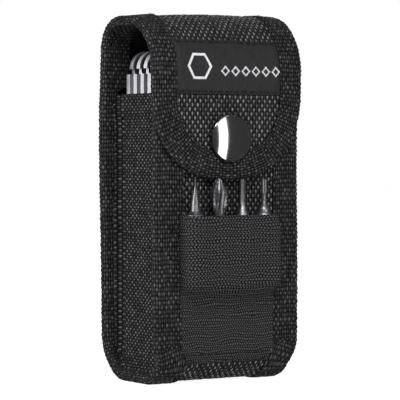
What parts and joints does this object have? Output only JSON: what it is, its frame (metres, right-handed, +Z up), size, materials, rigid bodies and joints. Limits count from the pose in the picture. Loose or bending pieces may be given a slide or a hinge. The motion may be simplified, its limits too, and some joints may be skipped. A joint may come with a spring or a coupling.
{
  "type": "multi-tool in a belt pouch",
  "caption": "Folded multi-tool in a black woven belt pouch with a snap-closed flap, an elastic pocket of driver bits on the front and a belt loop behind.",
  "frame": {"origin": "on the surface the pouch stands on, under the middle of its bounding box", "axes": "+Z up along the pouch's height, -Y out of its front with the flap, +X across it to the right of somebody facing it"},
  "size_m": [0.0586, 0.0538, 0.122],
  "materials": {
    "woven_nylon": "coarse heavy plain weave, matt with bright glints",
    "edge_tape": "ribbed woven tape, matt",
    "gusset_cloth": "fine diagonal weave, matt",
    "webbing": "woven webbing, matt",
    "thread": "black thread",
    "elastic": "fine ribbed elastic, matt",
    "label_satin": "black satin with a plain white motif",
    "cap_metal": "black polished",
    "snap_metal": "plated",
    "frame_steel": "fine ground",
    "blade_steel": "satin",
    "jaw_steel": "satin",
    "pin_steel": "turned",
    "bit_steel": "sand-blasted grey"
  },
  "bodies": {
    "pouch": {"front_panel": "woven_nylon", "base_panel": "woven_nylon", "back_panel": "woven_nylon", "left_gusset": "gusset_cloth", "right_gusset": "gusset_cloth", "left_gusset_hem": "edge_tape", "right_gusset_hem": "edge_tape", "front_hem": "edge_tape", "left_binding": "edge_tape", "right_binding": "edge_tape", "belt_loop": "webbing", "belt_loop_tacks": "thread", "elastic_pocket": "elastic", "snap_stud": "snap_metal", "stud_post": "snap_metal"},
    "flap_top": {"flap_top_panel": "woven_nylon", "left_flap_top_binding": "edge_tape", "right_flap_top_binding": "edge_tape"},
    "flap_front": {"flap_panel": "woven_nylon", "flap_binding": "edge_tape", "label": "label_satin", "snap_cap": "cap_metal", "snap_socket": "snap_metal", "snap_spring": "snap_metal"},
    "tool": {"left_back_plate": "frame_steel", "left_front_plate": "frame_steel", "left_dividers": "frame_steel", "left_springs": "blade_steel", "left_tool_pin": "pin_steel", "left_head_pin": "pin_steel", "left_rivet": "pin_steel", "left_jaw": "jaw_steel", "right_back_plate": "frame_steel", "right_front_plate": "frame_steel", "right_dividers": "frame_steel", "right_springs": "blade_steel", "right_tool_pin": "pin_steel", "right_head_pin": "pin_steel", "right_rivet": "pin_steel", "right_jaw": "jaw_steel", "knife_blade": "blade_steel", "can_opener": "blade_steel", "bottle_opener": "blade_steel", "saw_blade": "blade_steel", "flat_file": "blade_steel", "large_driver": "blade_steel", "cross_driver": "blade_steel", "awl": "blade_steel", "head_washers": "pin_steel", "jaw_pivot": "pin_steel"},
    "slotted_bit": {"slotted_bit": "bit_steel"},
    "phillips_bit": {"phillips_bit": "bit_steel"},
    "hex_bit": {"hex_bit": "bit_steel"},
    "star_bit": {"star_bit": "bit_steel"}
  },
  "joints": [
    {"name": "flap_top_hinge", "type": "hinge", "parent": "pouch", "child": "flap_top", "pos_m": [0, 0.0191, 0.11], "axis": [-1, 0, 0], "range_deg": [0, 180]},
    {"name": "flap_front_hinge", "type": "hinge", "parent": "flap_top", "child": "flap_front", "pos_m": [0, -0.0225, 0.114], "axis": [-1, 0, 0], "range_deg": [0, 110]},
    {"name": "tool_lift", "type": "slide", "parent": "pouch", "child": "tool", "axis": [0, 0, 1], "range_m": [0, 0.055]},
    {"name": "slotted_bit_slide", "type": "slide", "parent": "pouch", "child": "slotted_bit", "axis": [0, 0, 1], "range_m": [0, 0.02]},
    {"name": "phillips_bit_slide", "type": "slide", "parent": "pouch", "child": "phillips_bit", "axis": [0, 0, 1], "range_m": [0, 0.02]},
    {"name": "hex_bit_slide", "type": "slide", "parent": "pouch", "child": "hex_bit", "axis": [0, 0, 1], "range_m": [0, 0.02]},
    {"name": "star_bit_slide", "type": "slide", "parent": "pouch", "child": "star_bit", "axis": [0, 0, 1], "range_m": [0, 0.02]}
  ],
  "couplings": [
    {"joint": "flap_top_hinge", "follows": "tool_lift", "rad_per_m": 57.1},
    {"joint": "slotted_bit_slide", "follows": "flap_front_hinge", "m_per_rad": 0.0104},
    {"joint": "phillips_bit_slide", "follows": "flap_front_hinge", "m_per_rad": 0.0104},
    {"joint": "hex_bit_slide", "follows": "flap_front_hinge", "m_per_rad": 0.0104},
    {"joint": "star_bit_slide", "follows": "flap_front_hinge", "m_per_rad": 0.0104}
  ]
}
